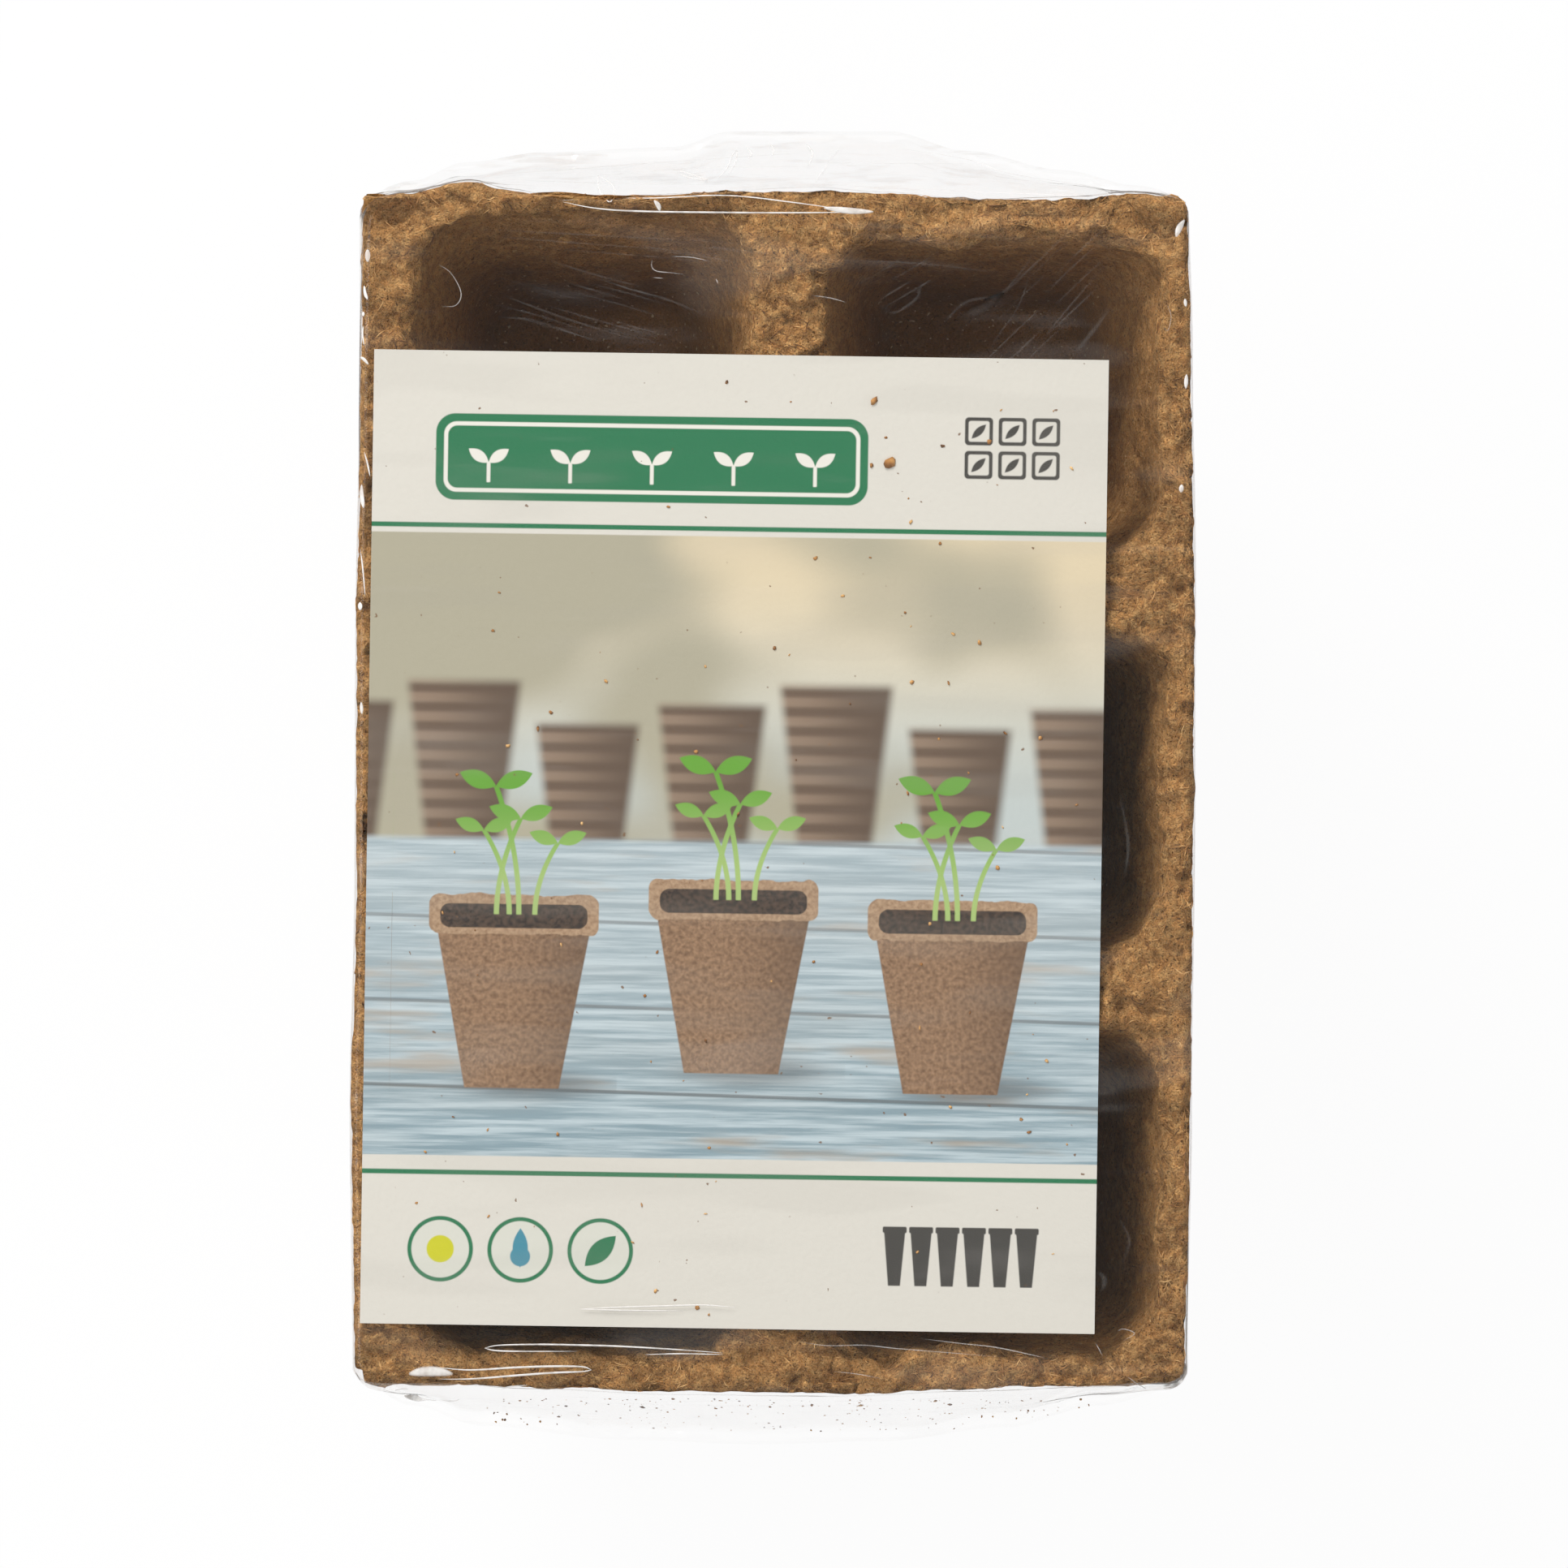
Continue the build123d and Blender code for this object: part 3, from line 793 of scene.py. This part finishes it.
def straw_finish():
    """Single wood fibres and peat crumbs, each of its own brown."""
    made = Finish("wood straws")
    tone = made.spots(made.place(), 0.6, 1)
    stops = ((0.34, (0.1, 0.042, 0.014)), (0.45, (0.34, 0.15, 0.045)),
             (0.56, (0.54, 0.275, 0.09)), (0.7, (0.8, 0.5, 0.21)))
    colour = made.node("ValToRGB", {"Fac": tone}, stops=stops)
    return made.finish(made.node("BsdfPrincipled", {"Base Color": colour, "Roughness": 0.7}))


def painted_highlight_finish(name, share, edge):
    """Painted highlights and painted reflections on the film: white, partly clear marks along its creases,
    folds and streaks.
    """
    made = Finish(name)
    across = made.node("Attribute", output=2, attribute_name="crease")
    uneven_highlight = made.step(made.spots(made.place(), 0.5, 2, 0.6), 0.3, 0.6, share * 0.5, share)
    uneven_highlight = uneven_highlight * made.step(across, 0, edge)
    # white that stands in for the film's highlights and reflections
    white = made.node("BsdfPrincipled", {"Base Color": (0.93, 0.9, 0.86, 1), "Roughness": 0.2})
    return made.over_clear(uneven_highlight, white)


def film_finish():
    """Thin clear film: clear straight on, glossier at a glance, with faint streaks, soft patches of painted
    reflection, and hazy at the back.
    """
    made = Finish("clear film")
    drawn = made.place((0, 0, 0.42), scale=(0.05, 0.42, 0.3))
    streaks = made.step(made.spots(drawn, 1, 3, 0.6), 0.56, 0.74)
    # soft lens-shaped patches of painted reflection
    wide = made.place((0, 0, -0.35), (3, 1, 0), (0.035, 0.12, 0.08))
    painted_reflection_patches = made.step(made.spots(wide, 1), 0.55, 0.72)
    rim = made.node("LayerWeight", {"Blend": 0.32}, 1)
    tented = made.step(made.node("SeparateXYZ", {0: made.place()}, 1), 76.5, 79)
    level = made.place((0, 0, -0.12), (1, 4, 2), (0.09, 0.6, 0.3))
    folds = made.step(made.spots(level, 1, 3, 0.6), 0.52, 0.66)
    haze = 0.008 + rim ** 3 * 0.15 + streaks * 0.012 + painted_reflection_patches * 0.018 + tented * (0.012 + folds * 0.06)
    veil = made.math("MINIMUM", haze, 0.9)
    ripple = made.spots(made.place(scale=(0.16, 0.16, 0.1)), 1, 3, 0.55)
    bump = made.node("Bump", {"Height": ripple, "Distance": MM, "Strength": 0.25})
    sockets = {"Base Color": (0.95, 0.9, 0.85, 1), "Metallic": 1.0, "Roughness": 0.09, "Normal": bump}
    return made.over_clear(veil, made.node("BsdfPrincipled", sockets))


# The printed card

GREEN = (0.012, 0.155, 0.062)
DARK = (0.045, 0.042, 0.036)

# Half the width of a printed shape's soft edge
SOFT = 0.1


class Print(Finish):
    """A print that is drawn with soft-edged shapes, each 1 inside it and 0 outside."""

    def at(self, across, up):
        return self.node("CombineXYZ", {0: across, 1: up})

    def repeat(self, value, pitch):
        return self.math("WRAP", value, pitch / 2, -pitch / 2)

    def within(self, value, low, high, soft=SOFT):
        return self.step(value, low - soft, low + soft) * self.step(value, high + soft, high - soft)

    def box(self, across, up, half_x, half_y, corner):
        out_x = self.most(abs(across) - (half_x - corner), 0)
        out_y = self.most(abs(up) - (half_y - corner), 0)
        return self.step((out_x ** 2 + out_y ** 2) ** 0.5, corner + SOFT, corner - SOFT)

    def disc(self, across, up, radius):
        return self.step((abs(across) ** 2 + abs(up) ** 2) ** 0.5, radius + SOFT, radius - SOFT)

    def leaf(self, across, up, turn, length, width):
        """A leaf that grows out of the place 0, 0."""
        out = (across * math.cos(turn) + up * math.sin(turn)) / length
        side = up * math.cos(turn) - across * math.sin(turn)
        return self.step(abs(side) - out * (1 - out) * 4 * width, SOFT, -SOFT)

    def two_leaves(self, across, up, size, lift=0.6):
        turns = (lift, math.pi - lift)
        return self.most(*[self.leaf(across, up, turn, 4.2 * size, 0.95 * size) for turn in turns])

    def seedling(self, across, up, size):
        """Two leaves on a short stem."""
        stem = self.box(across, up + 1.6 * size, 0.32 * size, 1.8 * size, 0.1)
        return self.most(self.two_leaves(across, up, size), stem)


def garden(made, x, y):
    """A row of far pots in a blurred garden."""
    blur = made.spots(made.at(x * 0.035, y * 0.05), 1, 1, 0.4)
    sky = made.blend(made.step(y, 2, 36), (0.5, 0.55, 0.53), (0.7, 0.59, 0.4))
    sky = made.blend(made.step(blur + x * 0.004, 0.4, 0.62), (0.4, 0.37, 0.27), sky)
    pitch, soft = 15.5, 0.9
    pot_x, number = made.repeat(x + 3, pitch), made.math("FLOOR", (x + 3) / pitch + 0.5)
    pot_top = 17 + made.math("SINE", number * 2.1) * 3
    pot = made.within(y, -8, 50, 0.5) * made.step(y - pot_top, soft, -soft)
    pot = pot * made.step(abs(pot_x) - 4.2 - (y + 4) * 0.12, soft, -soft)
    bands = made.step(made.math("SINE", y * 2.6), -0.9, 0.9)
    brown = made.blend(bands, (0.13, 0.085, 0.055), (0.27, 0.19, 0.13))
    brown = made.blend(made.step(pot_x, -7, 7), brown, (0.1, 0.065, 0.042))
    return made.blend(pot, sky, brown)


def boards(made, x, y):
    """Painted boards, worn in places, that lie across the picture."""
    pitch = 10.6
    lean = y + x * 0.02
    board = made.math("FLOOR", lean / pitch)
    grain = made.spots(made.at(x * 0.045 + board * 5.3, y * 1.15), 1, 4, 0.62)
    worn = made.spots(made.at(x * 0.03 + board * 3.1, y * 0.22), 1, 3, 0.6)
    joint = made.step(abs(made.repeat(lean, pitch)), 0.34, 0.1)
    wood = made.blend(made.step(grain, 0.35, 0.68), (0.22, 0.31, 0.35), (0.5, 0.59, 0.62))
    wood = made.blend(made.step(worn, 0.54, 0.72) * 0.7, wood, (0.4, 0.31, 0.22))
    wood = made.blend(joint * 0.75, wood, (0.06, 0.075, 0.08))
    return made.blend(made.step(y, -42, -4, 0, 0.3), wood, (0.62, 0.66, 0.66))


# Seedlings in each pot: how far one leans, its height, where it stands and its size
SEEDLINGS = ((0.02, 12, -2.2, 1.0), (-0.012, 16, 0.6, 1.15), (0.034, 9, 2.6, 0.9), (-0.03, 10.5, -0.6, 0.9))


def potted_seedlings(made, x, y, picture):
    """Adds three potted seedlings in a row to a picture."""
    pitch, foot, tall, row_end = 28.5, -29, 20, 42.6
    pot_x, number = made.repeat(x, pitch), made.math("FLOOR", x / pitch + 0.5)
    pot_x = pot_x + made.step(abs(x), row_end, row_end + 0.1) * 60
    pot_x, pot_y = pot_x + number * 1.1, y - foot + abs(number) * 2.2
    shade = (abs((pot_x - 3) / 12.5) ** 2 + abs((pot_y - 0.4) / 2.6) ** 2) ** 0.5

    body = made.step(abs(pot_x) - (5.9 + pot_y * 0.185), 0.12, -0.12) * made.within(pot_y, 0, tall)
    pulp = made.spots(made.at(x, y), 1.6, 3, 0.7)
    clay = made.blend(made.step(pulp, 0.3, 0.7), (0.16, 0.088, 0.045), (0.34, 0.205, 0.115))
    clay = made.blend(made.step(pot_x, -2, 11) * 0.55, clay, (0.075, 0.042, 0.024))

    mouth_y = pot_y - tall - 1.7
    wave = made.spots(made.at(x * 0.5, y * 0.1), 1) - 0.5
    mouth = made.box(pot_x, mouth_y + wave * 0.9, 10.6, 2.5, 1.2)
    rim = made.blend(made.step(pulp, 0.3, 0.7), (0.28, 0.17, 0.095), (0.46, 0.31, 0.19))
    bed = made.box(pot_x, mouth_y + 0.2, 9.2, 1.5, 1.2)
    soil = made.blend(made.step(pulp, 0.4, 0.6), (0.018, 0.011, 0.007), (0.07, 0.042, 0.026))
    shadow = made.step(shade, 1.1, 0.3) * 0.6
    picture = made.layers(picture, (shadow, (0.1, 0.11, 0.11)), (body, clay), (mouth, rim), (bed, soil))

    for lean, height, shift, size in SEEDLINGS:
        bend = pot_x - shift - mouth_y ** 2 * lean
        stem = made.step(abs(bend), 0.42, 0.22) * made.within(mouth_y, 0, height)
        tip = shift + height ** 2 * lean
        pair = made.two_leaves(pot_x - tip, mouth_y - height, size, 0.35)
        tint = made.blend(made.step(mouth_y, 2, 16), (0.36, 0.5, 0.16), (0.12, 0.33, 0.03))
        picture = made.blend(made.most(stem, pair), picture, tint)
    return picture


def band_and_grid(made, x, y, colour):
    """Adds the green band with its sprouts, and the grid of small leaves beside it."""
    colour = made.blend(made.box(x, y, 27, 5.4, 2.4), colour, GREEN)
    ring = made.box(x, y, 26, 4.4, 1.6) - made.box(x, y, 25.5, 3.9, 1.2)
    sprouts = made.seedling(made.repeat(x, 10.2), y + 0.7, 0.72) * made.box(x, y, 25, 3.6, 1)
    colour = made.blend(made.most(ring, sprouts), colour, (0.78, 0.75, 0.67))
    grid_x, grid_y, pitch = x - 45, y - 2, 4.2
    grid = made.box(grid_x, grid_y, 6.3, 4.2, 0.1)
    cell_x, cell_y = made.repeat(grid_x, pitch), made.repeat(grid_y - pitch / 2, pitch)
    frame_line = made.box(cell_x, cell_y, 1.75, 1.75, 0.5) - made.box(cell_x, cell_y, 1.3, 1.3, 0.3)
    leaf = made.leaf(cell_x + 0.9, cell_y + 0.9, 0.785, 2.5, 0.45)
    return made.blend(made.most(frame_line * grid, leaf * grid), colour, DARK)


def signs(made, x, y, colour):
    """Adds three round signs and a row of small pots."""
    for place_x, kind in ((-36, "sun"), (-26, "drop"), (-16, "leaf")):
        sign_x = x - place_x
        colour = made.blend(made.disc(sign_x, y, 4.1), colour, GREEN)
        colour = made.blend(made.disc(sign_x, y, 3.6) * 0.9, colour, (0.72, 0.7, 0.62))
        if kind == "sun":
            colour = made.blend(made.disc(sign_x, y, 1.7), colour, (0.56, 0.55, 0.015))
        elif kind == "drop":
            drop = made.leaf(sign_x, y + 2.2, math.pi / 2, 4.9, 0.95)
            drop = made.most(drop, made.disc(sign_x, y + 0.8, 1.25))
            colour = made.blend(drop, colour, (0.05, 0.24, 0.32))
        else:
            colour = made.blend(made.leaf(sign_x + 1.9, y + 1.9, 0.785, 5.4, 1.2), colour, GREEN)
    row_x, row_y, pitch = x - 29, y + 0.2, 3.3
    pots_x = made.repeat(row_x - pitch / 2, pitch)
    row = made.step(abs(pots_x) - 0.75 - (row_y + 3.6) * 0.085, 0.1, -0.1) * made.within(row_y, -3.6, 3.2)
    row = made.most(row, made.box(pots_x, row_y - 3.4, 1.5, 0.4, 0.2)) * made.step(abs(row_x), 9.95, 9.85)
    return made.blend(row, colour, DARK)


def card_finish():
    """A plain generic print: a band, a picture of potted seedlings on painted boards, and signs."""
    made = Print("printed card")
    turn = (0, 0, math.radians(CARD_TURN))
    sockets = {"Location": CARD_MIDDLE, "Rotation": turn, "Scale": (MM, MM, MM)}
    sockets["Vector"] = made.node("TexCoord", output=3)
    spot = made.node("Mapping", sockets, vector_type="TEXTURE")
    x, y = (made.node("SeparateXYZ", {0: spot}, axis) for axis in range(2))

    paper = made.spots(spot, 1.5, 3, 0.6)
    colour = made.blend(paper, (0.655, 0.625, 0.555), (0.69, 0.66, 0.588))
    picture = made.blend(made.step(y, -0.6, 0.6), boards(made, x, y), garden(made, x, y))
    picture = potted_seedlings(made, x, y, picture)
    colour = made.blend(made.within(y, -39.7, 38.1), colour, picture)
    rules = made.most(made.within(y, 38.75, 39.35), made.within(y, -42.1, -41.5))
    colour = made.blend(rules, colour, GREEN)
    colour = band_and_grid(made, x + 11, y - 47.6, colour)
    colour = signs(made, x, y + 51.4, colour)

    # painted shadow of the film's drawn streaks, peat dust, and the grain of the print
    drawn = made.spots(made.place((0, 0, 0.42), scale=(0.03, 0.21, 1), of=spot), 1, 1, 0.4)
    colour = made.blend(made.step(drawn, 0.5, 0.68) * 0.09, colour, (0.33, 0.31, 0.27))
    dust = made.step(made.spots(spot, 0.85), 0.735, 0.76)
    colour = made.blend(dust * 0.85, colour, (0.17, 0.085, 0.035))
    tooth = made.node("Bump", {"Height": paper, "Distance": MM, "Strength": 0.05})
    sockets = {"Base Color": colour, "Roughness": 0.42, "Specular IOR Level": 0.4, "Normal": tooth}
    return made.finish(made.node("BsdfPrincipled", sockets))


# The pack

TOP_STRAWS = 5200
EDGE_STRAWS = 420


def may_carry_straws(land, top):
    """Tells of a spot if straws may lie there: on the top tray's lands, or along another's edges."""
    if top:
        return lambda spot: spot.z > land - 3.5
    return lambda spot: abs(spot.x) > 51 and spot.z > land - 3 or abs(spot.y) > 74


fibre, straw = fibre_finish(), straw_finish()
for number in range(1, TRAYS + 1):
    node = f"tray_{number:02d}"
    top = number == TRAYS
    mesh = tray_mesh(node, number, top)
    land = FIRST_TRAY + (number - 1) * NEST_PITCH + POT_HEIGHT
    count = TOP_STRAWS if top else EDGE_STRAWS
    loose = straws(f"straws_{node}", mesh, count, number, may_carry_straws(land, top))
    add_piece(f"fibre_{node}", mesh, fibre, node, [node])
    add_piece(f"straws_{node}", loose, straw, node)

film = film_finish()
upper = film_mesh("film_upper", UPPER_STAGES, True)
lower = film_mesh("film_lower", LOWER_STAGES, False)
cover = surface_of(upper)
chance = random.Random(5)
drawn = [streak for form in BUNDLES for streak in bundle(chance, *form)]

# name, lines, height, whiteness of the painted highlight and how far in from its edge a ridge is painted
# white
marks = (
    ("gleams", GLEAMS, 0.4, 0.8, 0.5),
    ("highlight_creases", CREASES, 0.5, 0.28, 0.9),
    ("streaks", (*STREAKS, *drawn), 0.1, 0.02, 1),
)
for name, lines, height, share, edge in marks:
    mesh = highlight_creases(f"film_{name}", cover, lines, height)
    add_piece(f"film_{name}", mesh, painted_highlight_finish(f"film {name}", share, edge), "film_upper")

# peat dust inside the film's front end, where the picture shows it
spots = [seen_on(cover, chance.uniform(600, 1350), 1724 + 40 * chance.random() ** 1.4) for _ in range(240)]
dust = crumbs("film_dust", [(place, -normal) for place, normal in spots if place], 6, (0.07, 0.2))
add_piece("film_dust", dust, straw, "film_upper")
add_piece("clear_film_upper", upper, film, "film_upper", ["film_upper"])
add_piece("clear_film_lower", lower, film, "film_lower", ["film_lower"])

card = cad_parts["card"]
card.data.materials.clear()
card.data.materials.append(card_finish())
spots = []
for _ in range(95):
    across, along = 44.5 * (2 * chance.random() ** 0.8 - 1), 59.5 * (2 * chance.random() - 1)
    turned = Matrix.Rotation(math.radians(CARD_TURN), 3, "Z") @ Vector((across, along, 0))
    spots.append((turned + CARD_MIDDLE / MM + Vector((0, 0, STACK_TOP + 0.4)), Vector((0, 0, 1))))
add_piece("card_crumbs", crumbs("card_crumbs", spots, 8, (0.12, 0.38), 0.25), straw, "card")


# Floor, light and camera

FLOOR_REACH = 4
PACK_MIDDLE = (0, 0, 0.12)

# Outputs of the Light Path node
CAMERA_RAY, GLOSSY_RAY, TRANSMITTED_RAY = 0, 3, 6


def seen_rays(made):
    """1 for rays from the camera, off a gloss or through a clear body."""
    rays = (CAMERA_RAY, GLOSSY_RAY, TRANSMITTED_RAY)
    return made.most(*[made.node("LightPath", output=number) for number in rays])


floor_sheet = bmesh.new()
bmesh.ops.create_grid(floor_sheet, x_segments=2, y_segments=2, size=FLOOR_REACH)
floor_mesh = to_mesh("floor", floor_sheet)
put_in_scene("floor", floor_mesh)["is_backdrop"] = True
made = Finish("pale floor")
grain = made.blend(made.spots(made.place(), 0.002, 2), (0.9, 0.9, 0.9), (0.93, 0.93, 0.93))
matt = made.node("BsdfDiffuse", {"Color": grain})
white = made.node("Emission", {"Color": (1, 1, 1, 1), "Strength": 1.0})
surface = made.node("MixShader", {0: seen_rays(made) * 0.95, 1: matt, 2: white})
floor_mesh.materials.append(made.finish(surface))


def lamp(name, power, size, place):
    """A round lamp that faces the middle of the pack."""
    light = bpy.data.lights.new(name, "AREA")
    light.shape = "DISK"
    light.size = size
    light.energy = power
    holder = put_in_scene(name, light)
    holder.location = place
    holder.rotation_euler = (Vector(PACK_MIDDLE) - Vector(place)).to_track_quat("-Z", "Y").to_euler()
    return holder


# the key lamp is kept out of gloss, where it would hide the card behind its mirror image in the film
key = lamp("key", 25, 0.85, (-0.6, 1.4, 1.12))
key.visible_glossy = False
lamp("fill", 7.5, 1.0, (-1.0, 0.1, 1.55))

world = bpy.data.worlds.new("studio")
bpy.context.scene.world = world
made = Finish("studio", world)
strength = 0.55 + seen_rays(made) * 0.45
made.finish(made.node("Background", {"Color": (1, 1, 1, 1), "Strength": strength}), "OutputWorld")

camera = bpy.data.cameras.new("camera")
camera.sensor_width = 36
camera.lens = camera.sensor_width * CAMERA_ABOVE / (PICTURE * PIXEL)
camera.clip_end = 50
holder = put_in_scene("camera", camera)
holder.location = CAMERA * MM
bpy.context.scene.camera = holder
bpy.context.scene.view_settings.view_transform = "Standard"

[[list(corner) for corner in box] for box in (cad_box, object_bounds())]
